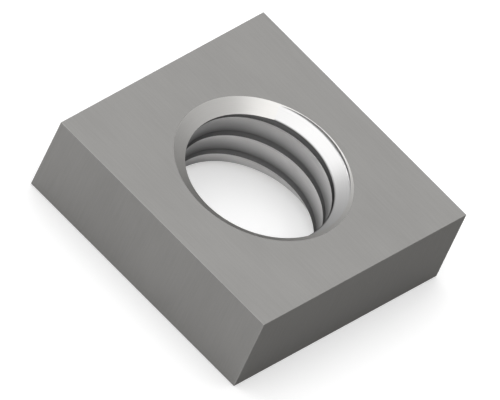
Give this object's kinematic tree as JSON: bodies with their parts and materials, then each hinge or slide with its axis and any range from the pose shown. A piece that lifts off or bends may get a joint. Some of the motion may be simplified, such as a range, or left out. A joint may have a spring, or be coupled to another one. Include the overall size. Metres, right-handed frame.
{
  "type": "square nut",
  "caption": "Thin square nut with flat unbevelled sides and a right-hand threaded hole that is countersunk at both mouths.",
  "frame": {"origin": "centre of the bottom bearing face, on the axis of the thread", "axes": "+Z along the thread's axis, up through the thickness; +X and +Y square to the flats; the middle of the thread groove crosses +X 0.06 mm above the bottom face, and every 1.5 mm above that"},
  "size_m": [0.016, 0.016, 0.005],
  "materials": {
    "steel": "satin"
  },
  "bodies": {
    "root": {"square_nut": "steel"}
  },
  "joints": []
}
